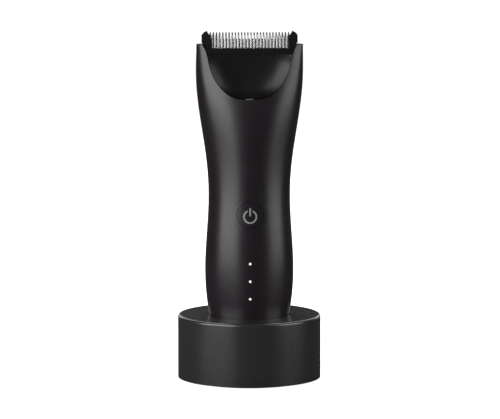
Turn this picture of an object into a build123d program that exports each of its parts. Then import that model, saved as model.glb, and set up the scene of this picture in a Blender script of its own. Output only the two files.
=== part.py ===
"""A cordless body groomer standing in its round charging dock.

Millimetres. The origin is the middle of the dock's foot, on the table. +X is the right of
the front view, -Y the front with the power button, +Z up.
"""
from build123d import *
from math import cos, pi, radians, sin
import os

os.makedirs("parts", exist_ok=True)

# ---------------------------------------------------------------- driving dimensions
# The dock
dock_radius = 29.0
dock_top_height = 26.5
dock_wall = 2.2
dock_deck = 2.5
dock_rim_radius = 1.0
foot_height = 0.8
foot_sink = 0.6
foot_inner_radius = 20.4
foot_outer_radius = 25.4
foot_round = 0.3
base_thickness = 2.6
base_clearance = 0.15
well_wall = 1.6
well_floor_top = 7.5
well_floor_thickness = 1.6
well_clearance = 0.35
boss_radius = 2.6
boss_clearance = 0.3
screw_count, screw_start = 3, 30
boss_hole_depth = 10.0
ballast_height = 6.0
ballast_clearance = 0.4

# The handle's outline, as half sizes at a few heights. The head hangs from its crown.
crown_height, crown_half_width, crown_half_depth = 136.8, 21.4, 4.7
seat_half_width, seat_half_depth = 15.3, 14.9
mouth_half_width, mouth_half_depth = 16.3, 15.7
belly_height, belly_half_width, belly_half_depth = 46.0, 17.95, 16.6
waist_height, waist_half_width, waist_half_depth = 79.0, 16.6, 15.4
flare_height, flare_half_width, flare_half_depth = crown_height - 32.8, 19.5, 15.1
neck_height, neck_half_width, neck_half_depth = crown_height - 19.8, 21.2, 12.9
shoulder_height, shoulder_half_width, shoulder_half_depth = crown_height - 9.3, 21.6, 8.7
flare_lean, neck_lean, shoulder_lean, crown_lean = 0.3, 1.3, 3.2, 5.0
housing_wall = 1.8
seam_depth = 4.9
gasket_thickness = 0.3
parting_groove = 0.25
rear_wall_top = shoulder_height
rear_opening_half_width = 17.0

# The blade module and its chamber
scoop_bottom = crown_height - 21.7
scoop_edge_half_width = 19.5
chamber_clearance = 0.2
chamber_wall = 1.6
rebate = 0.6
rebate_place = 2.0
chamber_rear = 3.3
hollow_top = scoop_bottom + 5.9
lip_front = 8.4
lip_bottom = crown_height - 3.7
lip_top = crown_height - 1.5
module_rear_wall = 1.3
module_cavity_half_width = 12.5
cavity_front = 7.4
horn_inner, horn_outer = 16.4, 19.3
horn_cover, horn_cover_front = 15.9, 2.4
horn_top = crown_height + 5.2
horn_foot = 2.0

# The blades, set out in a plane that leans back
blade_lean = 6.0
blade_seat_depth = 4.4
blade_seat_height = crown_height - 1.8
stator_thickness = 0.8
stator_teeth = 26
stator_pitch = 1.26
stator_tooth = 0.62
stator_tip = 6.6
stator_root = 3.9
cutter_thickness = 0.7
cutter_teeth = 24
cutter_pitch = 1.307
cutter_tooth = 0.66
cutter_tip = 5.5
cutter_root = -0.6
blade_gap = 0.03
cutter_stroke = 0.8

# The drive
motor_depth = 1.5
motor_radius = 8.5
motor_can_wall = 0.8
motor_top = scoop_bottom - 5.1
motor_bottom = motor_top - 27.0
shaft_radius = 1.0
running_gap = 0.05
seal_radius = 3.0
drive_pin_radius = 0.8
drive_disc_radius = 2.6
drive_disc_bottom = scoop_bottom + 1.4
drive_disc_top = drive_disc_bottom + 1.7
drive_pin_top = drive_disc_top + 3.4

# The button, the lamps and what is behind them
button_height = 68.7
button_radius = 5.5
button_gap = 0.15
button_travel = 0.6
button_back = 12.4
flange_back = 11.6
flange_reach = 0.7
collar_wall = 2.1
icon_radius = 2.8
icon_stroke = 0.62
icon_depth = 0.3
lamp_heights = (34.8, 41.95, 49.1)
lamp_radius = 0.48
lamp_gap = 0.03
spot_width, spot_depth, spot_rise = 3.2, 1.5, 0.3
spot_place = 12.9
spot_drop = 3.5
spot_wall = 0.8

# The cell, the boards and the frame between them
cell_radius, cell_length = 7.0, 49.5
cell_bottom, cell_depth = 24.5, 5.2
cell_round = 0.8
board_thickness = 1.2
board_front = 7.0
board_half_width = 10.5
board_bottom, board_top = 27.0, 76.0
spine_thickness = 1.6
spine_half_width = 11.0

# The bottom cap and the charging contacts
cap_seam = 20.0
cap_plug_top = 24.0
cap_floor = 2.6
cap_wall = 1.2
cap_chamfer = 0.8
plug_clearance = 0.15
seal_bottom, seal_top, seal_depth = 21.2, 22.8, 1.1
contact_spacing = 8.0
contact_recess_radius = 2.2
contact_recess = 0.9
pad_thickness = 0.6
pin_radius = 0.5
pin_travel = 0.8
pin_gap = 0.05
barrel_radius = 0.9

# The dock's board and its inlet
dock_board_bottom = 4.2
dock_board_thickness = 1.0
dock_board_half_width = 10.0
dock_board_length, dock_board_forward, dock_board_front = 48.0, 2.5, 15.0
dock_board_screw_width, dock_board_screw_length = 14.0, 24.0
dock_pillar_radius = 1.8
inlet_width, inlet_height, inlet_length = 8.94, 3.26, 7.4
inlet_wall = 0.3
inlet_recess = 1.6
inlet_clearance = 0.35
tongue_width, tongue_thickness, tongue_recess = 6.6, 0.7, 0.8
inlet_block = 1.2

# Screws
screw_radius = 1.0
screw_head_radius = 1.8
screw_head_height = 1.1
screw_clearance = 0.1
small_screw_radius = 0.7
small_head_radius = 1.3
small_head_height = 0.7
blade_screw_depth = 3.0

# ---------------------------------------------------------------- shared outlines
handle_sections = (
    (well_floor_top, seat_half_width, seat_half_depth, 0.0, 2.0),
    (dock_top_height, mouth_half_width, mouth_half_depth, 0.0, 2.0),
    (belly_height, belly_half_width, belly_half_depth, 0.0, 2.05),
    (waist_height, waist_half_width, waist_half_depth, 0.0, 2.05),
    (flare_height, flare_half_width, flare_half_depth, -flare_lean, 2.1),
    (neck_height, neck_half_width, neck_half_depth, -neck_lean, 2.25),
    (shoulder_height, shoulder_half_width, shoulder_half_depth, -shoulder_lean, 2.45),
    (crown_height, crown_half_width, crown_half_depth, -crown_lean, 2.6),
)


def oval_points(half_width, half_depth, centre_y, squareness, count=12):
    """Return points round a superellipse, from its right side and anticlockwise."""
    points = []
    for step in range(count):
        angle = 2 * pi * step / count
        across, along = cos(angle), sin(angle)
        reach = (abs(across) ** squareness + abs(along) ** squareness) ** (-1 / squareness)
        points.append((half_width * across * reach, centre_y + half_depth * along * reach))
    return points


def handle_form(inset):
    """Return the handle's outline as one solid, inset from its outer face."""
    with BuildPart() as form:
        for height, half_width, half_depth, centre_y, squareness in handle_sections:
            with BuildSketch(Plane.XY.offset(height)):
                with BuildLine():
                    Spline(
                        *oval_points(half_width - inset, half_depth - inset, centre_y, squareness),
                        periodic=True,
                    )
                make_face()
        loft()
    return form.part


def slab(bottom, top):
    """Return a wide flat block between two heights."""
    with BuildPart() as block:
        with BuildSketch(Plane.XY.offset(bottom)):
            Rectangle(120, 120)
        extrude(amount=top - bottom)
    return block.part


def scoop_prism(growth, rear, front=40.0):
    """Return the U-shaped block that the blade module fills, from its rear to its front.

    Each point of the U is a half width, a height over the bottom of the scoop, and the
    direction the edge faces there in degrees from straight down, along which it can grow.
    """
    edge = (
        (0.0, 0.0, 0),
        (7.3, 1.0, 20),
        (12.3, 5.1, 52),
        (16.0, 12.0, 70),
        (17.9, 19.4, 78),
        (scoop_edge_half_width, crown_height + 0.3 - scoop_bottom, 60),
    )
    right = [
        (
            half_width + growth * sin(radians(facing)),
            scoop_bottom + rise - growth * cos(radians(facing)),
        )
        for half_width, rise, facing in edge
    ]
    left = [(-x, z) for x, z in reversed(right[1:])]
    top = crown_height + 20
    with BuildPart() as prism:
        with BuildSketch(Plane.XZ.offset(-rear)):
            with BuildLine():
                curve = Spline(*left, *right)
                Polyline(curve @ 1, (right[-1][0], top), (left[0][0], top), curve @ 0)
            make_face()
        extrude(amount=front + rear)
    return prism.part


outer_form = handle_form(0.0)
inner_form = handle_form(housing_wall)

blade_plane = Plane(
    origin=(0, -blade_seat_depth, blade_seat_height),
    x_dir=(1, 0, 0),
    z_dir=(0, -cos(radians(blade_lean)), sin(radians(blade_lean))),
)
dock_bore = dock_radius - dock_wall
boss_ring_radius = (dock_bore + mouth_half_width + well_clearance + well_wall) / 2
base_top = foot_height + base_thickness
deck_under = dock_top_height - dock_deck
contact_places = [(-contact_spacing / 2, 0), (contact_spacing / 2, 0)]
dock_board_top = dock_board_bottom + dock_board_thickness

# ---------------------------------------------------------------- the dock
# Moulded shell: a round cup upside down, with the well let into its deck.
well_form = handle_form(-well_clearance)
with BuildPart() as dock_shell:
    with BuildSketch(Plane.XY.offset(foot_height)):
        Circle(dock_radius)
    extrude(amount=dock_top_height - foot_height)
    fillet(dock_shell.edges().group_by(Axis.Z)[-1], dock_rim_radius)
    with BuildSketch(Plane.XY.offset(foot_height)):
        Circle(dock_bore)
    extrude(amount=deck_under - foot_height, mode=Mode.SUBTRACT)
    with BuildSketch(Plane.XY.offset(base_top)):
        with PolarLocations(boss_ring_radius, screw_count, start_angle=screw_start):
            Circle(boss_radius)
    extrude(amount=deck_under - base_top)
    with BuildSketch(Plane.XY.offset(well_floor_top - well_floor_thickness)):
        Ellipse(
            mouth_half_width + well_clearance + well_wall,
            mouth_half_depth + well_clearance + well_wall,
        )
    extrude(amount=deck_under - well_floor_top + well_floor_thickness)
    with BuildPart(mode=Mode.PRIVATE) as well_room:
        add(well_form)
        add(slab(well_floor_top, dock_top_height + 1), mode=Mode.INTERSECT)
    add(well_room.part, mode=Mode.SUBTRACT)
    with BuildSketch(Plane.XY.offset(base_top)):
        with PolarLocations(boss_ring_radius, screw_count, start_angle=screw_start):
            Circle(screw_radius)
    extrude(amount=boss_hole_depth, mode=Mode.SUBTRACT)
    with BuildSketch(Plane.XY.offset(well_floor_top)):
        with Locations(*contact_places):
            Circle(barrel_radius + screw_clearance)
    extrude(amount=-well_floor_thickness, mode=Mode.SUBTRACT)
    with BuildSketch(Plane.XZ.offset(-dock_radius)):
        with Locations((0, dock_board_top + inlet_height / 2)):
            RectangleRounded(
                inlet_width + 2 * inlet_clearance,
                inlet_height + 2 * inlet_clearance,
                inlet_height / 2,
            )
    extrude(amount=dock_wall + 1.5, mode=Mode.SUBTRACT)
dock_shell.part.label = "dock_shell"
export_step(dock_shell.part, "parts/dock_shell.step")

# Screwed base plate, with a groove for the rubber foot and pillars for the board.
screw_seat = foot_height + foot_sink + screw_head_height + screw_clearance
with BuildPart() as dock_base_plate:
    with BuildSketch(Plane.XY.offset(foot_height)):
        Circle(dock_bore - base_clearance)
    extrude(amount=base_thickness)
    with BuildSketch(Plane.XY.offset(foot_height)):
        Circle(foot_outer_radius)
        Circle(foot_inner_radius, mode=Mode.SUBTRACT)
    extrude(amount=foot_sink, mode=Mode.SUBTRACT)
    with BuildSketch(Plane.XY.offset(foot_height)):
        with PolarLocations(boss_ring_radius, screw_count, start_angle=screw_start):
            Circle(screw_head_radius + screw_clearance)
    extrude(amount=screw_seat - foot_height, mode=Mode.SUBTRACT)
    with BuildSketch(Plane.XY.offset(foot_height)):
        with PolarLocations(boss_ring_radius, screw_count, start_angle=screw_start):
            Circle(screw_radius + screw_clearance)
    extrude(amount=base_thickness, mode=Mode.SUBTRACT)
    with BuildSketch(Plane.XY.offset(base_top)):
        with GridLocations(dock_board_screw_width, dock_board_screw_length, 2, 2):
            Circle(dock_pillar_radius)
    extrude(amount=dock_board_bottom - base_top)
    with BuildSketch(Plane.XY.offset(dock_board_bottom)):
        with GridLocations(dock_board_screw_width, dock_board_screw_length, 2, 2):
            Circle(small_screw_radius)
    extrude(amount=-base_thickness, mode=Mode.SUBTRACT)
dock_base_plate.part.label = "dock_base_plate"
export_step(dock_base_plate.part, "parts/dock_base_plate.step")

# Rubber ring that the dock stands on; it also covers the screws.
with BuildPart() as foot_ring:
    with BuildSketch():
        Circle(foot_outer_radius)
        Circle(foot_inner_radius, mode=Mode.SUBTRACT)
    extrude(amount=foot_height + foot_sink)
    fillet(foot_ring.edges().group_by(Axis.Z)[0], foot_round)
foot_ring.part.label = "foot_ring"
export_step(foot_ring.part, "parts/foot_ring.step")

# Three pan-head screws, up through the plate into the shell's bosses.
with BuildPart() as dock_screws:
    with BuildSketch(Plane.XY.offset(screw_seat - screw_head_height)):
        with PolarLocations(boss_ring_radius, screw_count, start_angle=screw_start):
            Circle(screw_head_radius)
    extrude(amount=screw_head_height)
    with BuildSketch(Plane.XY.offset(screw_seat)):
        with PolarLocations(boss_ring_radius, screw_count, start_angle=screw_start):
            Circle(screw_radius)
    extrude(amount=base_top - screw_seat + boss_hole_depth - 2.5)
dock_screws.part.label = "dock_screws"
export_step(dock_screws.part, "parts/dock_screws.step")

# Steel ring glued under the deck, so the dock stays put when the handle is lifted.
with BuildPart() as ballast_ring:
    with BuildSketch(Plane.XY.offset(deck_under - ballast_height)):
        Circle(dock_bore - ballast_clearance)
        Circle(mouth_half_width + well_clearance + well_wall + ballast_clearance, mode=Mode.SUBTRACT)
        with PolarLocations(boss_ring_radius, screw_count, start_angle=screw_start):
            Circle(boss_radius + boss_clearance, mode=Mode.SUBTRACT)
    extrude(amount=ballast_height)
ballast_ring.part.label = "ballast_ring"
export_step(ballast_ring.part, "parts/ballast_ring.step")

# The dock's circuit board, on the plate's pillars and reaching back to the inlet.
with BuildPart() as dock_board:
    with BuildSketch(Plane.XY.offset(dock_board_bottom)):
        with Locations((0, dock_board_forward)):
            Rectangle(2 * dock_board_half_width, dock_board_length)
        Circle(dock_bore - ballast_clearance, mode=Mode.INTERSECT)
        with Locations((0, -dock_bore)):
            Rectangle(2 * dock_bore, 2 * (dock_bore - dock_board_front), mode=Mode.SUBTRACT)
        with GridLocations(dock_board_screw_width, dock_board_screw_length, 2, 2):
            Circle(small_screw_radius + screw_clearance, mode=Mode.SUBTRACT)
    extrude(amount=dock_board_thickness)
dock_board.part.label = "dock_board"
export_step(dock_board.part, "parts/dock_board.step")

with BuildPart() as dock_board_screws:
    with BuildSketch(Plane.XY.offset(dock_board_top)):
        with GridLocations(dock_board_screw_width, dock_board_screw_length, 2, 2):
            Circle(small_head_radius)
    extrude(amount=small_head_height)
    with BuildSketch(Plane.XY.offset(dock_board_top)):
        with GridLocations(dock_board_screw_width, dock_board_screw_length, 2, 2):
            Circle(small_screw_radius)
    extrude(amount=-(dock_board_thickness + 2.0))
dock_board_screws.part.label = "dock_board_screws"
export_step(dock_board_screws.part, "parts/dock_board_screws.step")

# Charging inlet: a folded steel shell with a contact tongue on a moulded block.
inlet_front = dock_radius - inlet_recess
inlet_middle = dock_board_top + inlet_height / 2
with BuildPart() as inlet_shell:
    with BuildSketch(Plane.XZ.offset(-inlet_front)):
        with Locations((0, inlet_middle)):
            SlotOverall(inlet_width, inlet_height)
            SlotOverall(inlet_width - 2 * inlet_wall, inlet_height - 2 * inlet_wall, mode=Mode.SUBTRACT)
    extrude(amount=inlet_length)
inlet_shell.part.label = "inlet_shell"
export_step(inlet_shell.part, "parts/inlet_shell.step")

with BuildPart() as inlet_tongue:
    with BuildSketch(Plane.XZ.offset(-(inlet_front - inlet_length))):
        with Locations((0, inlet_middle)):
            SlotOverall(inlet_width - 2 * inlet_wall, inlet_height - 2 * inlet_wall)
    extrude(amount=-inlet_block)
    with BuildSketch(Plane.XZ.offset(-(inlet_front - tongue_recess))):
        with Locations((0, inlet_middle)):
            Rectangle(tongue_width, tongue_thickness)
    extrude(amount=inlet_length - tongue_recess)
inlet_tongue.part.label = "inlet_tongue"
export_step(inlet_tongue.part, "parts/inlet_tongue.step")

# Two sprung contact pins in brass barrels, up through the well's floor.
pad_face = well_floor_top + contact_recess
pad_radius = contact_recess_radius - 0.2
pin_top = pad_face - pin_gap
barrel_top = well_floor_top - 0.2
barrel_floor = dock_board_top + 0.3
pin_bottom = barrel_floor + pin_travel + 0.1
with BuildPart() as contact_barrels:
    with BuildSketch(Plane.XY.offset(dock_board_top)):
        with Locations(*contact_places):
            Circle(barrel_radius)
    extrude(amount=barrel_top - dock_board_top)
    with BuildSketch(Plane.XY.offset(barrel_floor)):
        with Locations(*contact_places):
            Circle(pin_radius + running_gap)
    extrude(amount=barrel_top - barrel_floor, mode=Mode.SUBTRACT)
contact_barrels.part.label = "contact_barrels"
export_step(contact_barrels.part, "parts/contact_barrels.step")

for side, place in zip(("left", "right"), contact_places):
    with BuildPart() as contact_pin:
        with BuildSketch(Plane.XY.offset(pin_bottom)):
            with Locations(place):
                Circle(pin_radius)
        extrude(amount=pin_top - pin_bottom)
        fillet(contact_pin.edges().group_by(Axis.Z)[-1], pin_radius * 0.6)
    contact_pin.part.label = f"contact_pin_{side}"
    export_step(contact_pin.part, f"parts/contact_pin_{side}.step")

# ---------------------------------------------------------------- the handle's shells
# The chamber is the U-shaped cup in the head that the blade module drops into. A step
# down its sides, the rebate, closes the gap round the module to the light.
with BuildPart() as chamber:
    add(scoop_prism(0.0, -rebate_place))
    add(scoop_prism(-rebate, chamber_rear))
chamber_cup = scoop_prism(chamber_wall, chamber_rear + chamber_wall)

with BuildPart() as hollow:
    add(inner_form)
    add(slab(cap_seam - 1, hollow_top), mode=Mode.INTERSECT)
    add(chamber_cup, mode=Mode.SUBTRACT)

with BuildPart() as shells:
    add(outer_form)
    add(slab(cap_seam, crown_height + 1), mode=Mode.INTERSECT)
    add(hollow.part, mode=Mode.SUBTRACT)
    add(chamber.part, mode=Mode.SUBTRACT)
    with BuildSketch(Plane.XY.offset(rear_wall_top)):
        with Locations((0, chamber_rear + shoulder_half_width)):
            Rectangle(2 * rear_opening_half_width, 2 * shoulder_half_width)
    extrude(amount=crown_height, mode=Mode.SUBTRACT)

half_gasket = gasket_thickness / 2
behind_front = 10.0
collar_back = flange_back - 0.8
with BuildPart() as front_housing:
    add(shells.part)
    split(bisect_by=Plane.XZ.offset(-seam_depth + half_gasket), keep=Keep.TOP)
    # collar that guides the button
    with BuildPart(mode=Mode.PRIVATE) as collar:
        with BuildSketch(Plane.XZ.offset(collar_back)):
            with Locations((0, button_height)):
                Circle(button_radius + collar_wall)
        extrude(amount=10)
        add(outer_form, mode=Mode.INTERSECT)
    add(collar.part)
    with BuildSketch(Plane.XZ.offset(behind_front)):
        with Locations((0, button_height)):
            Circle(button_radius)
    extrude(amount=behind_front, mode=Mode.SUBTRACT)
    with BuildSketch(Plane.XZ.offset(behind_front)):
        with Locations((0, button_height)):
            Circle(button_radius + flange_reach + button_gap)
    extrude(amount=button_back + running_gap - behind_front, mode=Mode.SUBTRACT)
    # lamp windows
    with BuildSketch(Plane.XZ.offset(behind_front)):
        with Locations(*[(0, height) for height in lamp_heights]):
            Circle(lamp_radius + lamp_gap)
    extrude(amount=behind_front, mode=Mode.SUBTRACT)
    # hole for the shaft seal
    with BuildSketch(Plane.XY.offset(motor_top)):
        with Locations((0, -motor_depth)):
            Circle(seal_radius)
    extrude(amount=10, mode=Mode.SUBTRACT)
    # pocket for the head lamp in the chamber's front edge
    with BuildPart(mode=Mode.PRIVATE) as lamp_post:
        with BuildSketch(Plane.XY.offset(scoop_bottom - spot_drop)):
            with Locations((0, -spot_place)):
                SlotOverall(spot_width + 2 * spot_wall, spot_depth + 2 * spot_wall)
        extrude(amount=spot_drop - chamber_clearance)
    add(lamp_post.part)
    with BuildSketch(Plane.XY.offset(scoop_bottom - spot_drop)):
        with Locations((0, -spot_place)):
            SlotOverall(spot_width, spot_depth)
    extrude(amount=2 * spot_drop, mode=Mode.SUBTRACT)
front_housing.part.label = "front_housing"
export_step(front_housing.part, "parts/front_housing.step")

with BuildPart() as rear_housing:
    add(shells.part)
    split(bisect_by=Plane.XZ.offset(-seam_depth - half_gasket), keep=Keep.BOTTOM)
rear_housing.part.label = "rear_housing"
export_step(rear_housing.part, "parts/rear_housing.step")

# Thin seal along the seam between the two shells.
with BuildPart() as housing_gasket:
    add(handle_form(parting_groove))
    add(slab(cap_seam, crown_height - parting_groove), mode=Mode.INTERSECT)
    add(hollow.part, mode=Mode.SUBTRACT)
    add(chamber.part, mode=Mode.SUBTRACT)
    with BuildPart(mode=Mode.PRIVATE) as seam_slice:
        with BuildSketch(Plane.XZ.offset(-seam_depth - half_gasket)):
            Rectangle(3 * dock_radius, 3 * crown_height)
        extrude(amount=gasket_thickness)
    add(seam_slice.part, mode=Mode.INTERSECT)
    with BuildSketch(Plane.XY.offset(rear_wall_top - parting_groove)):
        Rectangle(2 * (rear_opening_half_width + parting_groove), 2 * dock_radius)
    extrude(amount=crown_height, mode=Mode.SUBTRACT)
housing_gasket.part.label = "housing_gasket"
export_step(housing_gasket.part, "parts/housing_gasket.step")

# Bottom cap: its seam is hidden inside the well, and its plug carries the seal.
plug_form = handle_form(housing_wall + plug_clearance)
groove_form = handle_form(housing_wall + plug_clearance + seal_depth)
with BuildPart() as bottom_cap:
    add(outer_form)
    add(slab(well_floor_top, cap_seam), mode=Mode.INTERSECT)
    chamfer(bottom_cap.edges().group_by(Axis.Z)[0], cap_chamfer)
    with BuildPart(mode=Mode.PRIVATE) as plug:
        add(plug_form)
        add(slab(cap_seam - 2, cap_plug_top), mode=Mode.INTERSECT)
    add(plug.part)
    with BuildPart(mode=Mode.PRIVATE) as cap_room:
        add(handle_form(housing_wall + plug_clearance + seal_depth + cap_wall))
        add(slab(well_floor_top + cap_floor, cap_plug_top + 1), mode=Mode.INTERSECT)
    add(cap_room.part, mode=Mode.SUBTRACT)
    with BuildPart(mode=Mode.PRIVATE) as seal_room:
        add(plug_form)
        add(slab(seal_bottom, seal_top), mode=Mode.INTERSECT)
        add(groove_form, mode=Mode.SUBTRACT)
    add(seal_room.part, mode=Mode.SUBTRACT)
    with BuildSketch(Plane.XY.offset(well_floor_top)):
        with Locations(*contact_places):
            Circle(contact_recess_radius)
    extrude(amount=contact_recess, mode=Mode.SUBTRACT)
    with BuildSketch(Plane.XY.offset(pad_face)):
        with Locations(*contact_places):
            Circle(pad_radius)
    extrude(amount=pad_thickness, mode=Mode.SUBTRACT)
bottom_cap.part.label = "bottom_cap"
export_step(bottom_cap.part, "parts/bottom_cap.step")

with BuildPart() as cap_seal:
    add(inner_form)
    add(slab(seal_bottom, seal_top), mode=Mode.INTERSECT)
    add(groove_form, mode=Mode.SUBTRACT)
cap_seal.part.label = "cap_seal"
export_step(cap_seal.part, "parts/cap_seal.step")

# Gilt pads moulded into the cap, over the dock's sprung pins.
with BuildPart() as charge_pads:
    with BuildSketch(Plane.XY.offset(pad_face)):
        with Locations(*contact_places):
            Circle(pad_radius)
    extrude(amount=pad_thickness)
charge_pads.part.label = "charge_pads"
export_step(charge_pads.part, "parts/charge_pads.step")

# ---------------------------------------------------------------- the blade module
# Frame: the scooped front, the two horns beside the teeth and the seat for the blades.
module_rear = chamber_rear - chamber_clearance
# The dish is given, at a few heights, by its depth from the middle of the handle out to
# its sides: flat in the middle and turned up towards the U's edge.
dish_places = (0.0, 6.0, 11.0, 15.0, shoulder_half_width + 0.4)
dish_sections = (
    (scoop_bottom - 1.5, (12.9, 13.6, 15.5, 18.4, 26.0)),
    (scoop_bottom, (12.2, 12.9, 14.8, 17.4, 24.0)),
    (scoop_bottom + 2.0, (10.6, 11.1, 13.0, 15.6, 22.0)),
    (scoop_bottom + 5.5, (9.1, 9.4, 10.8, 13.4, 20.0)),
    (scoop_bottom + 9.0, (8.5, 8.7, 9.5, 11.4, 17.0)),
    (scoop_bottom + 12.5, (8.15, 8.25, 8.7, 10.0, 14.4)),
    (scoop_bottom + 15.5, (8.0, 8.05, 8.3, 9.0, 12.2)),
    (lip_bottom, (7.9, 7.95, 8.05, 8.5, 10.6)),
)
dish_front = 50.0
with BuildPart() as scoop_dish:
    for height, depths in dish_sections:
        right = [(across, -depth) for across, depth in zip(dish_places, depths)]
        left = [(-across, along) for across, along in reversed(right[1:])]
        with BuildSketch(Plane.XY.offset(height)):
            with BuildLine():
                Spline(*left, *right)
                Polyline(
                    right[-1], (right[-1][0], -dish_front), (left[0][0], -dish_front), left[0]
                )
            make_face()
    loft()

stator_screw_places = [(-9.5, -8.2), (9.5, -8.2)]
horn_plane = blade_plane.offset(-stator_thickness)
horn_rise = horn_top - blade_seat_height
horn_outline = (
    (horn_inner, -horn_foot),
    (horn_outer - 2.0, -horn_foot),
    (horn_outer - 1.7, -0.5),
    (horn_outer - 0.4, 1.9),
    (horn_outer, 2.3),
    (horn_outer, horn_rise - 1.7),
    (horn_outer - 0.9, horn_rise - 0.6),
    (horn_inner + 0.75, horn_rise),
    (horn_inner + 0.3, horn_rise - 1.0),
    (horn_inner, horn_rise - 1.2),
    (horn_inner, -horn_foot),
)
horn_edge = (
    (horn_inner, -horn_foot),
    (horn_inner, horn_rise - 1.2),
    (horn_cover + 0.1, horn_rise - 1.8),
    (horn_cover, horn_rise - 2.4),
    (horn_cover, -horn_foot),
    (horn_inner, -horn_foot),
)
blades_front = blade_gap + cutter_thickness + 0.15
ramp_front = 3.4
cavity_height = 9.0
slot_room = 1.8
with BuildPart() as module_frame:
    add(scoop_prism(-chamber_clearance, -rebate_place - chamber_clearance))
    add(scoop_prism(-rebate - chamber_clearance, module_rear))
    add(slab(scoop_bottom - 2, lip_top), mode=Mode.INTERSECT)
    add(scoop_dish.part, mode=Mode.SUBTRACT)
    # flat lip over the dish
    with BuildSketch(Plane.XY.offset(lip_bottom)):
        with Locations((0, -lip_front - 20)):
            Rectangle(2 * dish_places[-1], 40)
    extrude(amount=crown_height, mode=Mode.SUBTRACT)
    # ramp behind the blades
    with BuildSketch(Plane.YZ.offset(-dish_places[-1])):
        with BuildLine():
            Polyline(
                (module_rear + 1, rear_wall_top + 1.5), (-ramp_front, lip_top + 0.3),
                (-ramp_front, lip_top + 9), (module_rear + 9, lip_top + 9),
                (module_rear + 1, rear_wall_top + 1.5),
            )
        make_face()
    extrude(amount=2 * dish_places[-1], mode=Mode.SUBTRACT)
    # room for the fork and the drive, open at the bottom
    with BuildSketch(Plane.XY.offset(scoop_bottom - 2)):
        with Locations((0, (module_rear - module_rear_wall) / 2)):
            Rectangle(2 * module_cavity_half_width, module_rear - module_rear_wall)
        with Locations((0, -cavity_front / 2)):
            Rectangle(2 * module_cavity_half_width, cavity_front)
    extrude(amount=cavity_height + 2, mode=Mode.SUBTRACT)
    # slot that holds both blades, with the pressing springs in front of them
    with BuildSketch(horn_plane):
        with Locations((0, 2)):
            Rectangle(2 * horn_inner, 12.4)
        with Locations((0, -7.5)):
            Rectangle(2 * module_cavity_half_width, 7.5)
    extrude(amount=stator_thickness + slot_room, mode=Mode.SUBTRACT)
    # horns
    with BuildSketch(horn_plane):
        with BuildLine():
            Polyline(*horn_outline)
        make_face()
        mirror(about=Plane.YZ)
    extrude(amount=stator_thickness + horn_cover_front)
    # inner edges of the horns, in front of the blades' ends
    with BuildSketch(blade_plane.offset(blades_front)):
        with BuildLine():
            Polyline(*horn_edge)
        make_face()
        mirror(about=Plane.YZ)
    extrude(amount=horn_cover_front - blades_front)
    with BuildSketch(horn_plane):
        with Locations(*stator_screw_places):
            Circle(small_screw_radius)
    extrude(amount=-blade_screw_depth, mode=Mode.SUBTRACT)
module_frame.part.label = "module_frame"
export_step(module_frame.part, "parts/module_frame.step")


def comb(teeth, pitch, width, root, tip):
    """Return the corners of a row of pointed teeth, from left to right."""
    points = []
    for tooth in range(teeth):
        middle = (tooth - (teeth - 1) / 2) * pitch
        points += [
            (middle - width / 2, root),
            (middle - width / 2, tip - width),
            (middle - width / 6, tip),
            (middle + width / 6, tip),
            (middle + width / 2, tip - width),
            (middle + width / 2, root),
        ]
    return points


# Stationary blade: ground steel plate with long teeth, screwed to the frame's seat.
stator_half_width = (stator_pitch * (stator_teeth - 1) + stator_tooth) / 2 + 0.01
stator_plate = 12.0
stator_foot = -11.0
stator_shoulder = -4.0
with BuildPart() as stationary_blade:
    with BuildSketch(horn_plane):
        with BuildLine():
            row = comb(stator_teeth, stator_pitch, stator_tooth, stator_root, stator_tip)
            Polyline(
                (-stator_half_width, stator_shoulder), *row, (stator_half_width, stator_shoulder),
                (stator_plate, stator_shoulder), (stator_plate, stator_foot),
                (-stator_plate, stator_foot), (-stator_plate, stator_shoulder),
                (-stator_half_width, stator_shoulder),
            )
        make_face()
        with Locations(*stator_screw_places):
            Circle(small_screw_radius + running_gap, mode=Mode.SUBTRACT)
    extrude(amount=stator_thickness)
stationary_blade.part.label = "stationary_blade"
export_step(stationary_blade.part, "parts/stationary_blade.step")

# Cutter: the thinner toothed plate that runs across the front of the stationary blade.
cutter_plane = blade_plane.offset(blade_gap)
cutter_half_width = cutter_pitch * (cutter_teeth - 1) / 2 + cutter_tooth / 2
cutter_plate = 9.0
cutter_shoulder = -3.2
cutter_foot = -6.2
with BuildPart() as cutter_blade:
    with BuildSketch(cutter_plane):
        with BuildLine():
            row = comb(cutter_teeth, cutter_pitch, cutter_tooth, cutter_root, cutter_tip)
            Polyline(
                (-cutter_half_width, cutter_shoulder), *row, (cutter_half_width, cutter_shoulder),
                (cutter_plate, cutter_shoulder), (cutter_plate, cutter_foot),
                (-cutter_plate, cutter_foot), (-cutter_plate, cutter_shoulder),
                (-cutter_half_width, cutter_shoulder),
            )
        make_face()
    extrude(amount=cutter_thickness)
cutter_blade.part.label = "cutter_blade"
export_step(cutter_blade.part, "parts/cutter_blade.step")

# Two small screws that hold the stationary blade to the frame's seat.
with BuildPart() as blade_screws:
    with BuildSketch(blade_plane):
        with Locations(*stator_screw_places):
            Circle(small_head_radius)
    extrude(amount=small_head_height)
    with BuildSketch(blade_plane):
        with Locations(*stator_screw_places):
            Circle(small_screw_radius)
    extrude(amount=-(stator_thickness + blade_screw_depth - 0.8))
blade_screws.part.label = "blade_screws"
export_step(blade_screws.part, "parts/blade_screws.step")

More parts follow.
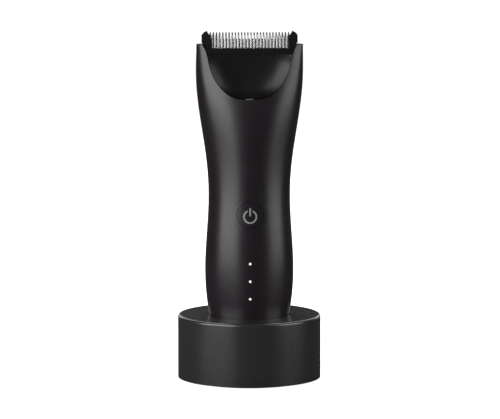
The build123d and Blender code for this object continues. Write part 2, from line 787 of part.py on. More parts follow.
# Two leaf springs that press the cutter on the stationary blade.
spring_plane = blade_plane.offset(blade_gap + cutter_thickness + blade_gap)
spring_thickness = 0.3
spring_width, spring_length, spring_foot = 2.4, 4.4, 0.9
spring_place, spring_middle = 7.4, cutter_shoulder - 0.6
with BuildPart() as cutter_springs:
    for centre in (-spring_place, spring_place):
        with BuildSketch(spring_plane):
            with Locations((centre, spring_middle)):
                Rectangle(spring_width, spring_length)
        extrude(amount=spring_thickness)
        with BuildSketch(spring_plane):
            with Locations((centre, spring_middle - (spring_length - spring_thickness) / 2)):
                Rectangle(spring_width, spring_thickness)
        extrude(amount=spring_foot)
cutter_springs.part.label = "cutter_springs"
export_step(cutter_springs.part, "parts/cutter_springs.step")

# Fork on the cutter's front; the motor's off-centre pin works between its two prongs.
fork_gap = 2 * (drive_pin_radius + 2 * cutter_stroke + running_gap)
prong_width = 1.9
prong_bottom = drive_disc_top + 0.3
prong_top = drive_pin_top + 0.6
fork_thickness = 0.7
fork_foot = -12.8
prong_length, prong_middle = 7.9, -3.2
with BuildPart() as cutter_fork:
    with BuildSketch(blade_plane.offset(blade_gap + cutter_thickness)):
        with Locations((0, (cutter_shoulder + fork_foot) / 2)):
            Rectangle(fork_gap + 2 * prong_width, cutter_shoulder - fork_foot)
    extrude(amount=fork_thickness)
    with BuildSketch(Plane.XY.offset(prong_bottom)):
        with Locations((0, prong_middle)):
            Rectangle(fork_gap + 2 * prong_width, prong_length)
            Rectangle(fork_gap, prong_length, mode=Mode.SUBTRACT)
    extrude(amount=prong_top - prong_bottom)
cutter_fork.part.label = "cutter_fork"
export_step(cutter_fork.part, "parts/cutter_fork.step")

# ---------------------------------------------------------------- the motor and its drive
shaft_seal_length = 3.0
with BuildPart() as shaft_seal:
    with BuildSketch(Plane.XY.offset(scoop_bottom - 2.2)):
        with Locations((0, -motor_depth)):
            Circle(seal_radius)
            Circle(shaft_radius + running_gap, mode=Mode.SUBTRACT)
    extrude(amount=shaft_seal_length)
shaft_seal.part.label = "shaft_seal"
export_step(shaft_seal.part, "parts/shaft_seal.step")

end_cap_thickness = 2.4
can_round = 0.8
can_top_wall = 1.0
bush_radius = 2.0
motor_nose = 1.4
motor_screw_places = [(-5.5, -motor_depth), (5.5, -motor_depth)]
with BuildPart() as motor_can:
    with BuildSketch(Plane.XY.offset(motor_bottom)):
        with Locations((0, -motor_depth)):
            Circle(motor_radius)
    extrude(amount=motor_top - motor_bottom)
    fillet(motor_can.edges().group_by(Axis.Z)[-1], can_round)
    with BuildSketch(Plane.XY.offset(motor_top)):
        with Locations((0, -motor_depth)):
            Circle(seal_radius)
    extrude(amount=motor_nose)
    with BuildSketch(Plane.XY.offset(motor_bottom)):
        with Locations((0, -motor_depth)):
            Circle(motor_radius - motor_can_wall)
    extrude(amount=motor_top - motor_bottom - can_top_wall, mode=Mode.SUBTRACT)
    with BuildSketch(Plane.XY.offset(motor_bottom)):
        with Locations((0, -motor_depth)):
            Circle(bush_radius)
    extrude(amount=motor_top - motor_bottom + motor_nose, mode=Mode.SUBTRACT)
    with BuildSketch(Plane.XY.offset(motor_top)):
        with Locations(*motor_screw_places):
            Circle(small_screw_radius)
    extrude(amount=-2 * can_top_wall, mode=Mode.SUBTRACT)
motor_can.part.label = "motor_can"
export_step(motor_can.part, "parts/motor_can.step")

with BuildPart() as motor_bush:
    with BuildSketch(Plane.XY.offset(motor_top - can_top_wall)):
        with Locations((0, -motor_depth)):
            Circle(bush_radius)
            Circle(shaft_radius + running_gap, mode=Mode.SUBTRACT)
    extrude(amount=can_top_wall + motor_nose)
motor_bush.part.label = "motor_bush"
export_step(motor_bush.part, "parts/motor_bush.step")

with BuildPart() as motor_end_cap:
    with BuildSketch(Plane.XY.offset(motor_bottom)):
        with Locations((0, -motor_depth)):
            Circle(motor_radius - motor_can_wall)
            Circle(shaft_radius + running_gap, mode=Mode.SUBTRACT)
    extrude(amount=end_cap_thickness)
motor_end_cap.part.label = "motor_end_cap"
export_step(motor_end_cap.part, "parts/motor_end_cap.step")

terminal_place = motor_radius - 3.5
terminal_thickness, terminal_width, terminal_length = 0.5, 2.4, 3.0
with BuildPart() as motor_terminals:
    with BuildSketch(Plane.XY.offset(motor_bottom)):
        with Locations((-terminal_place, -motor_depth), (terminal_place, -motor_depth)):
            Rectangle(terminal_thickness, terminal_width)
    extrude(amount=-terminal_length)
motor_terminals.part.label = "motor_terminals"
export_step(motor_terminals.part, "parts/motor_terminals.step")

magnet_outer = motor_radius - motor_can_wall
magnet_thickness, magnet_parting, magnet_length = 1.5, 3.0, 17.0
with BuildPart() as motor_magnets:
    with BuildSketch(Plane.XY.offset(motor_bottom + 5)):
        with Locations((0, -motor_depth)):
            Circle(magnet_outer)
            Circle(magnet_outer - magnet_thickness, mode=Mode.SUBTRACT)
            Rectangle(magnet_parting, 3 * magnet_outer, mode=Mode.SUBTRACT)
    extrude(amount=magnet_length)
motor_magnets.part.label = "motor_magnets"
export_step(motor_magnets.part, "parts/motor_magnets.step")

armature_radius = magnet_outer - magnet_thickness - 0.5
armature_slots, slot_depth, slot_width, armature_length = 3, 2.0, 1.2, 14.0
with BuildPart() as motor_armature:
    with BuildSketch(Plane.XY.offset(motor_bottom + 6)):
        with Locations((0, -motor_depth)):
            Circle(armature_radius)
            Circle(shaft_radius, mode=Mode.SUBTRACT)
            with PolarLocations(armature_radius, armature_slots):
                Rectangle(2 * slot_depth, slot_width, mode=Mode.SUBTRACT)
    extrude(amount=armature_length)
motor_armature.part.label = "motor_armature"
export_step(motor_armature.part, "parts/motor_armature.step")

shaft_stub = 0.6
with BuildPart() as motor_shaft:
    with BuildSketch(Plane.XY.offset(motor_bottom - shaft_stub)):
        with Locations((0, -motor_depth)):
            Circle(shaft_radius)
    extrude(amount=drive_disc_top - motor_bottom + shaft_stub)
motor_shaft.part.label = "motor_shaft"
export_step(motor_shaft.part, "parts/motor_shaft.step")

disc_cap = 0.4
with BuildPart() as drive_eccentric:
    with BuildSketch(Plane.XY.offset(drive_disc_bottom)):
        with Locations((0, -motor_depth)):
            Circle(drive_disc_radius)
            Circle(shaft_radius, mode=Mode.SUBTRACT)
    extrude(amount=drive_disc_top - drive_disc_bottom)
    with BuildSketch(Plane.XY.offset(drive_disc_top)):
        with Locations((0, -motor_depth - cutter_stroke)):
            Circle(drive_pin_radius)
    extrude(amount=drive_pin_top - drive_disc_top)
    with BuildSketch(Plane.XY.offset(drive_disc_top)):
        with Locations((0, -motor_depth)):
            Circle(shaft_radius + disc_cap)
    extrude(amount=disc_cap)
drive_eccentric.part.label = "drive_eccentric"
export_step(drive_eccentric.part, "parts/drive_eccentric.step")

mount_thickness = motor_nose
mount_rim = 1.2
with BuildPart() as motor_mount:
    with BuildSketch(Plane.XY.offset(motor_top)):
        with Locations((0, -motor_depth)):
            Circle(motor_radius + mount_rim)
            Circle(seal_radius, mode=Mode.SUBTRACT)
        with Locations(*motor_screw_places):
            Circle(small_screw_radius + screw_clearance, mode=Mode.SUBTRACT)
    extrude(amount=mount_thickness)
motor_mount.part.label = "motor_mount"
export_step(motor_mount.part, "parts/motor_mount.step")

with BuildPart() as motor_screws:
    with BuildSketch(Plane.XY.offset(motor_top + mount_thickness)):
        with Locations(*motor_screw_places):
            Circle(small_head_radius)
    extrude(amount=small_head_height)
    with BuildSketch(Plane.XY.offset(motor_top + mount_thickness)):
        with Locations(*motor_screw_places):
            Circle(small_screw_radius)
    extrude(amount=-(mount_thickness + can_top_wall - 0.1))
motor_screws.part.label = "motor_screws"
export_step(motor_screws.part, "parts/motor_screws.step")

# ---------------------------------------------------------------- cell, boards and spine
with BuildPart() as battery_cell:
    with BuildSketch(Plane.XY.offset(cell_bottom)):
        with Locations((0, cell_depth)):
            Circle(cell_radius)
    extrude(amount=cell_length)
    fillet(battery_cell.edges().group_by(Axis.Z)[-1], cell_round)
    fillet(battery_cell.edges().group_by(Axis.Z)[0], cell_round)
battery_cell.part.label = "battery_cell"
export_step(battery_cell.part, "parts/battery_cell.step")

tab_thickness, tab_width, tab_length, tab_offset = 0.25, 4.0, 8.0, 2.0
with BuildPart() as battery_tabs:
    for height in (cell_bottom - tab_thickness, cell_bottom + cell_length):
        with BuildSketch(Plane.XY.offset(height)):
            with Locations((0, cell_depth - tab_offset)):
                Rectangle(tab_width, tab_length)
        extrude(amount=tab_thickness)
battery_tabs.part.label = "battery_tabs"
export_step(battery_tabs.part, "parts/battery_tabs.step")

spine_front = 4.2
spine_top = motor_bottom + 8.0
ring_wall, ring_height = 1.7, 7.0
post_radius = 1.6
board_corner = 1.5
board_plane = Plane.XZ.offset(board_front)
board_back_plane = Plane.XZ.offset(board_front - board_thickness)
board_middle = (board_bottom + board_top) / 2
board_screw_across, board_screw_inset = 8.3, 3.0
board_screw_places = [
    (across, height)
    for across in (-board_screw_across, board_screw_across)
    for height in (board_bottom + board_screw_inset, board_top - board_screw_inset)
]
with BuildPart() as chassis:
    with BuildSketch(Plane.XZ.offset(spine_front - spine_thickness)):
        with Locations((0, (board_bottom + spine_top) / 2)):
            Rectangle(2 * spine_half_width, spine_top - board_bottom)
    extrude(amount=spine_thickness)
    with BuildSketch(Plane.XZ.offset(spine_front)):
        with Locations(*board_screw_places):
            Circle(post_radius)
    extrude(amount=board_front - board_thickness - spine_front)
    with BuildSketch(Plane.XZ.offset(spine_front - spine_thickness)):
        with Locations(*board_screw_places):
            Circle(small_screw_radius)
    extrude(amount=5, mode=Mode.SUBTRACT)
    with BuildSketch(Plane.XY.offset(motor_bottom)):
        with Locations((0, -motor_depth)):
            Circle(motor_radius + ring_wall)
    extrude(amount=ring_height)
    with BuildSketch(Plane.XY.offset(motor_bottom - 4)):
        with Locations((0, -motor_depth)):
            Circle(motor_radius + running_gap)
    extrude(amount=2 * ring_height + 6, mode=Mode.SUBTRACT)
chassis.part.label = "chassis"
export_step(chassis.part, "parts/chassis.step")

with BuildPart() as main_board:
    with BuildSketch(board_back_plane):
        with Locations((0, board_middle)):
            RectangleRounded(2 * board_half_width, board_top - board_bottom, board_corner)
        with Locations(*board_screw_places):
            Circle(small_screw_radius + screw_clearance, mode=Mode.SUBTRACT)
    extrude(amount=board_thickness)
main_board.part.label = "main_board"
export_step(main_board.part, "parts/main_board.step")

with BuildPart() as board_screws:
    with BuildSketch(board_plane):
        with Locations(*board_screw_places):
            Circle(small_head_radius)
    extrude(amount=small_head_height)
    with BuildSketch(board_plane):
        with Locations(*board_screw_places):
            Circle(small_screw_radius)
    extrude(amount=-(board_thickness + 3))
board_screws.part.label = "board_screws"
export_step(board_screws.part, "parts/board_screws.step")

# ---------------------------------------------------------------- the button and the lamps
# The cap is cut from the handle's own outline, so its face is flush with the shell.
switch_front = 9.6
stem_radius, stem_end = 1.4, switch_front + 0.6
plunger_radius, plunger_length = 1.6, 1.6
switch_side, switch_corner = 6.0, 0.5
led_width, led_height, led_depth = 1.6, 0.8, 0.6
bar_width, bar_thickness, bar_round = 2.4, 1.2, 0.8
mark_drop, mark_bar_rise, mark_bar_length, mark_gap = 0.6, 1.3, 3.4, 2.0
lens_round = 0.35
skin_form = handle_form(icon_depth)


def power_mark():
    """Return a plain power symbol, as a bar extruded through the front of the handle."""
    with BuildPart() as mark:
        with BuildSketch(Plane.XZ.offset(button_back)):
            with Locations((0, button_height - mark_drop)):
                Circle(icon_radius)
                Circle(icon_radius - icon_stroke, mode=Mode.SUBTRACT)
                with Locations((0, icon_radius)):
                    Rectangle(mark_gap, 2 * icon_radius, mode=Mode.SUBTRACT)
            with Locations((0, button_height + mark_bar_rise)):
                SlotOverall(mark_bar_length, icon_stroke, rotation=90)
        extrude(amount=10)
    return mark.part


with BuildPart() as power_icon:
    add(power_mark())
    add(outer_form, mode=Mode.INTERSECT)
    add(skin_form, mode=Mode.SUBTRACT)
power_icon.part.label = "power_icon"
export_step(power_icon.part, "parts/power_icon.step")

with BuildPart() as power_button:
    with BuildSketch(Plane.XZ.offset(button_back)):
        with Locations((0, button_height)):
            Circle(button_radius - button_gap)
    extrude(amount=10)
    add(outer_form, mode=Mode.INTERSECT)
    with BuildSketch(Plane.XZ.offset(button_back)):
        with Locations((0, button_height)):
            Circle(button_radius + flange_reach)
    extrude(amount=-(button_back - flange_back))
    with BuildSketch(Plane.XZ.offset(flange_back)):
        with Locations((0, button_height)):
            Circle(stem_radius)
    extrude(amount=-(flange_back - stem_end))
    add(power_icon.part, mode=Mode.SUBTRACT)
power_button.part.label = "power_button"
export_step(power_button.part, "parts/power_button.step")

with BuildPart() as switch_plunger:
    with BuildSketch(Plane.XZ.offset(stem_end)):
        with Locations((0, button_height)):
            Circle(plunger_radius)
    extrude(amount=-plunger_length)
switch_plunger.part.label = "switch_plunger"
export_step(switch_plunger.part, "parts/switch_plunger.step")

with BuildPart() as switch_body:
    with BuildSketch(board_plane):
        with Locations((0, button_height)):
            RectangleRounded(switch_side, switch_side, switch_corner)
    extrude(amount=switch_front - board_front)
    with BuildSketch(Plane.XZ.offset(switch_front)):
        with Locations((0, button_height)):
            Circle(plunger_radius + running_gap)
    extrude(amount=-(plunger_length + button_travel - 0.5), mode=Mode.SUBTRACT)
switch_body.part.label = "switch_body"
export_step(switch_body.part, "parts/switch_body.step")

with BuildPart() as status_leds:
    with BuildSketch(board_plane):
        with Locations(*[(0, height) for height in lamp_heights]):
            Rectangle(led_width, led_height)
    extrude(amount=led_depth)
status_leds.part.label = "status_leds"
export_step(status_leds.part, "parts/status_leds.step")

# One clear moulding: three rods out to the shell's face, joined by a bar behind.
with BuildPart() as light_pipes:
    with BuildSketch(Plane.XZ.offset(board_front + led_depth + 0.2)):
        with Locations(*[(0, height) for height in lamp_heights]):
            Circle(lamp_radius)
    extrude(amount=2 * board_front)
    with BuildSketch(Plane.XZ.offset(board_front + led_depth + 1.0)):
        with Locations((0, lamp_heights[1])):
            RectangleRounded(bar_width, lamp_heights[2] - lamp_heights[0] + bar_width, bar_round)
    extrude(amount=bar_thickness)
    add(outer_form, mode=Mode.INTERSECT)
light_pipes.part.label = "light_pipes"
export_step(light_pipes.part, "parts/light_pipes.step")

spot_bottom = scoop_bottom - spot_drop
lens_bottom = spot_bottom + led_depth + 0.2
with BuildPart() as spot_lens:
    with BuildSketch(Plane.XY.offset(lens_bottom)):
        with Locations((0, -spot_place)):
            SlotOverall(spot_width, spot_depth)
    extrude(amount=scoop_bottom + spot_rise - lens_bottom)
    fillet(spot_lens.edges().group_by(Axis.Z)[-1], lens_round)
spot_lens.part.label = "spot_lens"
export_step(spot_lens.part, "parts/spot_lens.step")

with BuildPart() as spot_led:
    with BuildSketch(Plane.XY.offset(spot_bottom)):
        with Locations((0, -spot_place)):
            Rectangle(led_width, led_height)
    extrude(amount=led_depth)
spot_led.part.label = "spot_led"
export_step(spot_led.part, "parts/spot_led.step")
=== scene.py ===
from math import cos, radians, sin

import bmesh
import bpy
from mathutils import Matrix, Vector


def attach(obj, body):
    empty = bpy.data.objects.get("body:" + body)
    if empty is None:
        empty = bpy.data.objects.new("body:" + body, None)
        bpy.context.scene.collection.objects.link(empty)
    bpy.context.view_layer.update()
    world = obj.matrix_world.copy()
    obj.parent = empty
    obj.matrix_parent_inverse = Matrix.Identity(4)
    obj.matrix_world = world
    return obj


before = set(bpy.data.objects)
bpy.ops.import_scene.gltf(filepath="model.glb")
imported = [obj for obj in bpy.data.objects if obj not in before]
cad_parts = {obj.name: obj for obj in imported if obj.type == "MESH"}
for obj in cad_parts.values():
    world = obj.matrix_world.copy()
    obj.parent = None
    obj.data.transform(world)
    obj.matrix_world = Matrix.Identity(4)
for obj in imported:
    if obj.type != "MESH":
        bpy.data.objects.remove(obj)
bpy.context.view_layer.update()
mm = 0.001


# --- Camera: a long lens a little above the dock's deck and almost square to the button.
# The field is worked out for a view of 500 by 419.
aim = Vector((0.3, 0.0, 69.1)) * mm
camera_turn, camera_tilt = radians(-1.3), radians(7.3)
camera_distance = 1.6
field_width = 202.6 * mm
towards_camera = Vector((
    sin(camera_turn) * cos(camera_tilt),
    -cos(camera_turn) * cos(camera_tilt),
    sin(camera_tilt),
))
camera_data = bpy.data.cameras.new("camera")
camera_data.sensor_width = 36.0
camera_data.lens = camera_data.sensor_width * camera_distance / field_width
camera = bpy.data.objects.new("camera", camera_data)
bpy.context.scene.collection.objects.link(camera)
camera.location = aim + towards_camera * camera_distance
camera.rotation_euler = (-towards_camera).to_track_quat("-Z", "Y").to_euler()
bpy.context.scene.camera = camera


# --- Studio: two upright soft boxes, a broad one on the left and a dimmer one on the right,
# a small one overhead, two dim ones for the back, and a pale table out to the horizon.
lit_point = Vector((0.0, 0.0, 75.0)) * mm


def soft_box(name, turn, tilt, distance, width, height, power):
    """Stand a soft box round the object; turn is from the front, towards the right."""
    data = bpy.data.lights.new(name, "AREA")
    data.shape = "RECTANGLE"
    data.size, data.size_y = width, height
    data.energy = power
    lamp = bpy.data.objects.new(name, data)
    bpy.context.scene.collection.objects.link(lamp)
    turn, tilt = radians(turn), radians(tilt)
    away = Vector((sin(turn) * cos(tilt), -cos(turn) * cos(tilt), sin(tilt)))
    lamp.location = lit_point + away * distance
    lamp.rotation_euler = (-away).to_track_quat("-Z", "Y").to_euler()


soft_box("key_box", -53, 6, 0.60, 0.62, 0.80, 8.0)
soft_box("fill_box", 70, 6, 0.65, 0.50, 0.80, 4.4)
soft_box("top_box", 180, 62, 0.80, 0.60, 0.40, 4.0)
soft_box("back_left_box", -160, 20, 0.80, 0.40, 0.60, 1.0)
soft_box("back_right_box", 155, 20, 0.80, 0.40, 0.60, 1.0)

bpy.context.scene.view_settings.view_transform = "Standard"

world = bpy.data.worlds.new("studio")
bpy.context.scene.world = world
world.use_nodes = True
world.node_tree.nodes["Background"].inputs["Color"].default_value = (1.0, 1.0, 1.0, 1.0)
world.node_tree.nodes["Background"].inputs["Strength"].default_value = 0.02

floor_mesh = bpy.data.meshes.new("floor")
floor_shape = bmesh.new()
bmesh.ops.create_circle(floor_shape, cap_ends=True, radius=9.0, segments=96)
floor_shape.to_mesh(floor_mesh)
floor_shape.free()
floor = bpy.data.objects.new("floor", floor_mesh)
bpy.context.scene.collection.objects.link(floor)
floor_look = bpy.data.materials.new("pale_table")
floor_look.use_nodes = True
table_nodes, table_links = floor_look.node_tree.nodes, floor_look.node_tree.links
table_shader = table_nodes["Principled BSDF"]
table_shader.inputs["Base Color"].default_value = (0.90, 0.90, 0.90, 1.0)
table_shader.inputs["Roughness"].default_value = 0.9
table_shader.inputs["Specular IOR Level"].default_value = 0.1
table_shader.inputs["Emission Color"].default_value = (1.0, 1.0, 1.0, 1.0)
table_shader.inputs["Emission Strength"].default_value = 1.0
shade = table_nodes.new("ShaderNodeBsdfDiffuse")
shade.inputs["Color"].default_value = (0.05, 0.05, 0.05, 1.0)
seen = table_nodes.new("ShaderNodeLightPath")
either = table_nodes.new("ShaderNodeMixShader")
table_links.new(seen.outputs["Is Camera Ray"], either.inputs["Fac"])
table_links.new(shade.outputs["BSDF"], either.inputs[1])
table_links.new(table_shader.outputs["BSDF"], either.inputs[2])
table_links.new(either.outputs["Shader"], table_nodes["Material Output"].inputs["Surface"])
floor_mesh.materials.append(floor_look)


# --- Moulded and painted surfaces: the grain that the mould or the paint leaves.
# One group gives every plastic its fine bump, its patchy gloss and its faint drift in colour.
def shader_group(name, inputs, outputs):
    """Make an empty shader group with named float inputs and outputs."""
    tree = bpy.data.node_groups.new(name, "ShaderNodeTree")
    for label, value in inputs:
        socket = tree.interface.new_socket(label, in_out="INPUT", socket_type="NodeSocketFloat")
        socket.default_value = value
    for label in outputs:
        tree.interface.new_socket(label, in_out="OUTPUT", socket_type="NodeSocketFloat")
    return tree, tree.nodes.new("NodeGroupInput"), tree.nodes.new("NodeGroupOutput")


def map_range(tree, value, low, high):
    """Spread a 0 to 1 value between two values or sockets."""
    node = tree.nodes.new("ShaderNodeMapRange")
    tree.links.new(value, node.inputs["Value"])
    for label, end in (("To Min", low), ("To Max", high)):
        if isinstance(end, (int, float)):
            node.inputs[label].default_value = end
        else:
            tree.links.new(end, node.inputs[label])
    return node.outputs["Result"]


def maths(tree, operation, first, second):
    """Join two values or sockets with one sum."""
    node = tree.nodes.new("ShaderNodeMath")
    node.operation = operation
    for socket, value in zip(node.inputs, (first, second)):
        if isinstance(value, (int, float)):
            socket.default_value = value
        else:
            tree.links.new(value, socket)
    return node.outputs[0]


grain_tree, grain_in, grain_out = shader_group(
    "moulded_grain",
    (("Grain", 5200.0), ("Patch", 90.0), ("Roughness", 0.4), ("Spread", 0.05)),
    ("Height", "Roughness", "Drift"),
)
grain_place = grain_tree.nodes.new("ShaderNodeTexCoord")
fine = grain_tree.nodes.new("ShaderNodeTexNoise")
fine.inputs["Detail"].default_value = 2.0
grain_tree.links.new(grain_place.outputs["Object"], fine.inputs["Vector"])
grain_tree.links.new(grain_in.outputs["Grain"], fine.inputs["Scale"])
patches = grain_tree.nodes.new("ShaderNodeTexNoise")
patches.inputs["Detail"].default_value = 4.0
grain_tree.links.new(grain_place.outputs["Object"], patches.inputs["Vector"])
grain_tree.links.new(grain_in.outputs["Patch"], patches.inputs["Scale"])
grain_tree.links.new(fine.outputs["Fac"], grain_out.inputs["Height"])
grain_tree.links.new(patches.outputs["Fac"], grain_out.inputs["Drift"])
low_gloss = maths(grain_tree, "SUBTRACT", grain_in.outputs["Roughness"], grain_in.outputs["Spread"])
high_gloss = maths(grain_tree, "ADD", grain_in.outputs["Roughness"], grain_in.outputs["Spread"])
grain_tree.links.new(
    map_range(grain_tree, patches.outputs["Fac"], low_gloss, high_gloss),
    grain_out.inputs["Roughness"],
)


def new_material(name):
    """Start a material; return it with its tree and its shader."""
    material = bpy.data.materials.new(name)
    material.use_nodes = True
    return material, material.node_tree, material.node_tree.nodes["Principled BSDF"]


def colour_between(tree, factor, first, second):
    """Mix two colours by a factor socket."""
    mix = tree.nodes.new("ShaderNodeMix")
    mix.data_type = "RGBA"
    mix.inputs["A"].default_value = (*first, 1.0)
    mix.inputs["B"].default_value = (*second, 1.0)
    tree.links.new(factor, mix.inputs["Factor"])
    return mix.outputs["Result"]


def bump(tree, height, strength, depth):
    """Turn a height into a normal."""
    node = tree.nodes.new("ShaderNodeBump")
    node.inputs["Strength"].default_value = strength
    node.inputs["Distance"].default_value = depth
    tree.links.new(height, node.inputs["Height"])
    return node.outputs["Normal"]


grain_depth = 0.03 * mm


def moulded(name, first, second, roughness, spread=0.04, grain=5200.0, relief=0.12, coat=0.0,
            specular=0.5):
    """Plastic, paint or rubber: two close colours, and the mould's grain."""
    material, tree, shader = new_material(name)
    group = tree.nodes.new("ShaderNodeGroup")
    group.node_tree = grain_tree
    group.inputs["Grain"].default_value = grain
    group.inputs["Roughness"].default_value = roughness
    group.inputs["Spread"].default_value = spread
    tree.links.new(
        colour_between(tree, group.outputs["Drift"], first, second), shader.inputs["Base Color"]
    )
    tree.links.new(group.outputs["Roughness"], shader.inputs["Roughness"])
    tree.links.new(
        bump(tree, group.outputs["Height"], relief, grain_depth), shader.inputs["Normal"]
    )
    shader.inputs["Coat Weight"].default_value = coat
    shader.inputs["Coat Roughness"].default_value = 0.2
    shader.inputs["Specular IOR Level"].default_value = specular
    return material


def dress(material, *nodes):
    """Give CAD nodes a material."""
    for node in nodes:
        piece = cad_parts[node]
        for place in piece.material_slots:
            place.material = material


# --- Handle: two shells in a satin paint that is almost black with a plum cast, over a
# moulded body, with a thin rubber seal in the seam and a cap hidden in the well.
handle_paint = moulded(
    "plum_black_satin_paint", (0.0088, 0.0062, 0.0086), (0.0120, 0.0088, 0.0118), 0.33,
    relief=0.10,
)
dress(handle_paint, "front_housing", "rear_housing", "bottom_cap", "power_button")
seal_rubber = moulded(
    "black_silicone", (0.010, 0.010, 0.010), (0.018, 0.018, 0.018), 0.62, grain=3000.0
)
dress(seal_rubber, "housing_gasket", "cap_seal", "shaft_seal")


# --- Dock: a heavy round cup in dark grey plastic with a fine satin mould finish, a base
# plate of the same plastic and a soft rubber ring that it stands on.
dock_plastic = moulded(
    "dark_grey_satin_plastic", (0.0190, 0.0182, 0.0184), (0.0250, 0.0238, 0.0242), 0.26,
    spread=0.02, grain=4200.0, relief=0.06, specular=0.7,
)
dress(dock_plastic, "dock_shell", "dock_base_plate")
foot_rubber = moulded(
    "foot_rubber", (0.011, 0.011, 0.011), (0.020, 0.020, 0.020), 0.75, grain=2600.0, relief=0.3
)
dress(foot_rubber, "foot_ring")


# --- Blade module: a glossier black moulding, scooped in front, with a horn each side.
module_plastic = moulded(
    "black_module_plastic", (0.0030, 0.0027, 0.0034), (0.0046, 0.0043, 0.0052), 0.37,
    grain=6000.0, relief=0.08, specular=0.33,
)
dress(module_plastic, "module_frame")


# --- Blades: ground steel. The cutter is bright; the stationary blade behind it is given darker steel, a painted shade for where it lies behind the cutter.
# The grinding wheel leaves fine scratches along the teeth.
brushed_tree, brushed_in, brushed_out = shader_group(
    "ground_lines", (("Roughness", 0.35), ("Spread", 0.08)), ("Height", "Roughness", "Drift")
)
brushed_place = brushed_tree.nodes.new("ShaderNodeTexCoord")
stretch = brushed_tree.nodes.new("ShaderNodeMapping")
stretch.inputs["Scale"].default_value = (5000.0, 5000.0, 300.0)
lines = brushed_tree.nodes.new("ShaderNodeTexNoise")
lines.inputs["Scale"].default_value = 1.0
lines.inputs["Detail"].default_value = 3.0
brushed_tree.links.new(brushed_place.outputs["Object"], stretch.inputs["Vector"])
brushed_tree.links.new(stretch.outputs["Vector"], lines.inputs["Vector"])
brushed_tree.links.new(lines.outputs["Fac"], brushed_out.inputs["Height"])
brushed_tree.links.new(lines.outputs["Fac"], brushed_out.inputs["Drift"])
less_rough = maths(
    brushed_tree, "SUBTRACT", brushed_in.outputs["Roughness"], brushed_in.outputs["Spread"]
)
more_rough = maths(
    brushed_tree, "ADD", brushed_in.outputs["Roughness"], brushed_in.outputs["Spread"]
)
brushed_tree.links.new(
    map_range(brushed_tree, lines.outputs["Fac"], less_rough, more_rough),
    brushed_out.inputs["Roughness"],
)


line_depth = 0.02 * mm


def metal(name, first, second, roughness, relief=0.1):
    """Metal with ground or drawn lines."""
    material, tree, shader = new_material(name)
    group = tree.nodes.new("ShaderNodeGroup")
    group.node_tree = brushed_tree
    group.inputs["Roughness"].default_value = roughness
    tree.links.new(
        colour_between(tree, group.outputs["Drift"], first, second), shader.inputs["Base Color"]
    )
    tree.links.new(group.outputs["Roughness"], shader.inputs["Roughness"])
    tree.links.new(
        bump(tree, group.outputs["Height"], relief, line_depth), shader.inputs["Normal"]
    )
    shader.inputs["Metallic"].default_value = 1.0
    return material


cutter_steel = metal("ground_cutter_steel", (0.70, 0.70, 0.71), (0.88, 0.88, 0.88), 0.45)
# The stationary blade's darker steel is painted shade: the same steel, darkened because it sits
# behind the cutter.
stator_steel_painted_shade = metal("ground_steel_with_painted_shade", (0.36, 0.36, 0.37), (0.50, 0.50, 0.51), 0.42)
plated_steel = metal("plated_steel", (0.52, 0.52, 0.54), (0.66, 0.66, 0.67), 0.30)
gilt = metal("gilt_brass", (0.72, 0.52, 0.24), (0.88, 0.66, 0.32), 0.28)
dark_iron = metal("blackened_iron", (0.05, 0.05, 0.05), (0.09, 0.09, 0.09), 0.55)
dress(cutter_steel, "cutter_blade")
dress(stator_steel_painted_shade, "stationary_blade")
dress(
    plated_steel, "dock_screws", "dock_board_screws", "board_screws", "motor_screws",
    "blade_screws", "cutter_springs", "inlet_shell", "battery_tabs", "motor_can", "motor_shaft",
    "motor_mount",
)
dress(
    gilt, "contact_barrels", "contact_pin_left", "contact_pin_right", "charge_pads",
    "motor_terminals", "motor_bush",
)
dress(dark_iron, "ballast_ring", "motor_magnets", "motor_armature")


# --- Ground faces of the teeth: the grinding wheel leaves each tooth with a flat land and
# bevelled edges, pointed at its tip. One tooth is made, and a row repeats it.
blade_seat = Vector((0.0, -4.4, 135.0)) * mm
blade_lean = radians(6)
blade_up = Vector((0.0, sin(blade_lean), cos(blade_lean)))
blade_out = Vector((0.0, -cos(blade_lean), sin(blade_lean)))
row_tree = bpy.data.node_groups.new("row_of_teeth", "GeometryNodeTree")
row_inputs = {}
for label, kind in (
    ("Tooth", "NodeSocketGeometry"),
    ("Count", "NodeSocketInt"),
    ("Step", "NodeSocketVector"),
    ("Material", "NodeSocketMaterial"),
):
    socket = row_tree.interface.new_socket(label, in_out="INPUT", socket_type=kind)
    row_inputs[label] = socket.identifier
row_tree.interface.new_socket("Row", in_out="OUTPUT", socket_type="NodeSocketGeometry")
row_in = row_tree.nodes.new("NodeGroupInput")
row_out = row_tree.nodes.new("NodeGroupOutput")
places = row_tree.nodes.new("GeometryNodeMeshLine")
copies = row_tree.nodes.new("GeometryNodeInstanceOnPoints")
real = row_tree.nodes.new("GeometryNodeRealizeInstances")
finish = row_tree.nodes.new("GeometryNodeSetMaterial")
row_tree.links.new(row_in.outputs["Count"], places.inputs["Count"])
row_tree.links.new(row_in.outputs["Step"], places.inputs["Offset"])
row_tree.links.new(places.outputs["Mesh"], copies.inputs["Points"])
row_tree.links.new(row_in.outputs["Tooth"], copies.inputs["Instance"])
row_tree.links.new(copies.outputs["Instances"], real.inputs["Geometry"])
row_tree.links.new(real.outputs["Geometry"], finish.inputs["Geometry"])
row_tree.links.new(row_in.outputs["Material"], finish.inputs["Material"])
row_tree.links.new(finish.outputs["Geometry"], row_out.inputs["Row"])


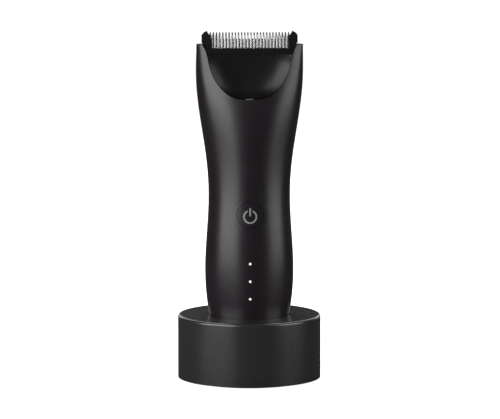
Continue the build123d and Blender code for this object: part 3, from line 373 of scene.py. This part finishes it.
def tooth_row(name, material, body, count, pitch, width, root, tip, face, bevel, rise):
    """Lay a ground land with bevelled edges on every tooth; face is the blade's front."""
    first = -(count - 1) / 2 * pitch
    half, shoulder = width / 2, tip - width
    outline = ((-half, root), (half, root), (half, shoulder), (half / 3, tip), (-half / 3, tip),
               (-half, shoulder))
    top_half = half - bevel
    top = ((-top_half, root + bevel), (top_half, root + bevel), (top_half, shoulder),
           (top_half / 3, tip - bevel), (-top_half / 3, tip - bevel), (-top_half, shoulder))
    shape = bmesh.new()
    rings = []
    for points, out in ((outline, -bevel / 4), (outline, 0.0), (top, rise)):
        ring = []
        for across, along in points:
            place = blade_seat + (blade_up * along + blade_out * (face + out)) * mm
            ring.append(shape.verts.new((place.x + (first + across) * mm, place.y, place.z)))
        rings.append(ring)
    for lower, upper in zip(rings, rings[1:]):
        for step in range(len(lower)):
            after = (step + 1) % len(lower)
            shape.faces.new((lower[step], lower[after], upper[after], upper[step]))
    shape.faces.new(reversed(rings[0]))
    shape.faces.new(rings[-1])
    bmesh.ops.recalc_face_normals(shape, faces=shape.faces)
    one = bpy.data.meshes.new(name)
    shape.to_mesh(one)
    shape.free()
    piece = bpy.data.objects.new(name, one)
    bpy.context.scene.collection.objects.link(piece)
    row = piece.modifiers.new("row", "NODES")
    row.node_group = row_tree
    row[row_inputs["Count"]] = count
    row[row_inputs["Step"]] = (pitch * mm, 0.0, 0.0)
    row[row_inputs["Material"]] = material
    sight = bpy.context.evaluated_depsgraph_get()
    piece.data = bpy.data.meshes.new_from_object(piece.evaluated_get(sight))
    piece.modifiers.clear()
    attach(piece, body)


land_steel = metal("ground_land_steel", (0.62, 0.62, 0.63), (0.80, 0.80, 0.80), 0.50, relief=0.02)
# The stationary teeth get near-black steel, a painted shade for their faces in the shadow of the
# cutter.
painted_shade_tip_steel = metal("stator_tip_steel_painted_shade", (0.10, 0.10, 0.105), (0.17, 0.17, 0.175), 0.50, relief=0.02)
tooth_row(
    "cutter_tooth_lands", land_steel, "cutter", count=24, pitch=1.307, width=0.66, root=-0.4,
    tip=5.5, face=0.73, bevel=0.10, rise=0.03,
)
tooth_row(
    "stator_tooth_lands", painted_shade_tip_steel, "blade_module", count=26, pitch=1.26, width=0.62, root=4.1,
    tip=6.6, face=0.0, bevel=0.10, rise=0.02,
)


# --- Button and lamps: a light grey power symbol inlaid in the button, three clear light
# pipes that glow white, and the head lamp's lens in the lip of the scoop.
icon_plastic = moulded("symbol_grey", (0.26, 0.26, 0.26), (0.32, 0.32, 0.32), 0.40, relief=0.03)
dress(icon_plastic, "power_icon")


def glowing(name, colour, strength):
    """A diffusing lens with light behind it, a little uneven."""
    material, tree, shader = new_material(name)
    group = tree.nodes.new("ShaderNodeGroup")
    group.node_tree = grain_tree
    group.inputs["Grain"].default_value = 1800.0
    tree.links.new(
        colour_between(tree, group.outputs["Height"], colour, tuple(0.8 * c for c in colour)),
        shader.inputs["Emission Color"],
    )
    shader.inputs["Base Color"].default_value = (0.8, 0.8, 0.8, 1.0)
    shader.inputs["Roughness"].default_value = 0.25
    shader.inputs["Emission Strength"].default_value = strength
    return material


lamp_glow = glowing("lamp_glow", (1.0, 1.0, 1.0), 0.55)
dress(lamp_glow, "light_pipes", "status_leds")
lens_clear = moulded("head_lamp_lens", (0.10, 0.10, 0.11), (0.16, 0.16, 0.17), 0.12, coat=0.6)
dress(lens_clear, "spot_lens")
dress(glowing("head_lamp", (1.0, 0.98, 0.92), 0.3), "spot_led")


# --- What is inside: boards with a green mask, the cell in its blue wrap, and the mouldings
# that hold them.
board_mask = moulded("green_board", (0.006, 0.045, 0.020), (0.010, 0.065, 0.030), 0.32)
dress(board_mask, "main_board", "dock_board")
dress(moulded("blue_cell_wrap", (0.02, 0.09, 0.26), (0.03, 0.12, 0.32), 0.25), "battery_cell")
inner_plastic = moulded("inner_grey_plastic", (0.06, 0.06, 0.065), (0.09, 0.09, 0.095), 0.5)
dress(
    inner_plastic, "chassis", "switch_body", "switch_plunger", "motor_end_cap",
    "drive_eccentric", "cutter_fork", "inlet_tongue",
)
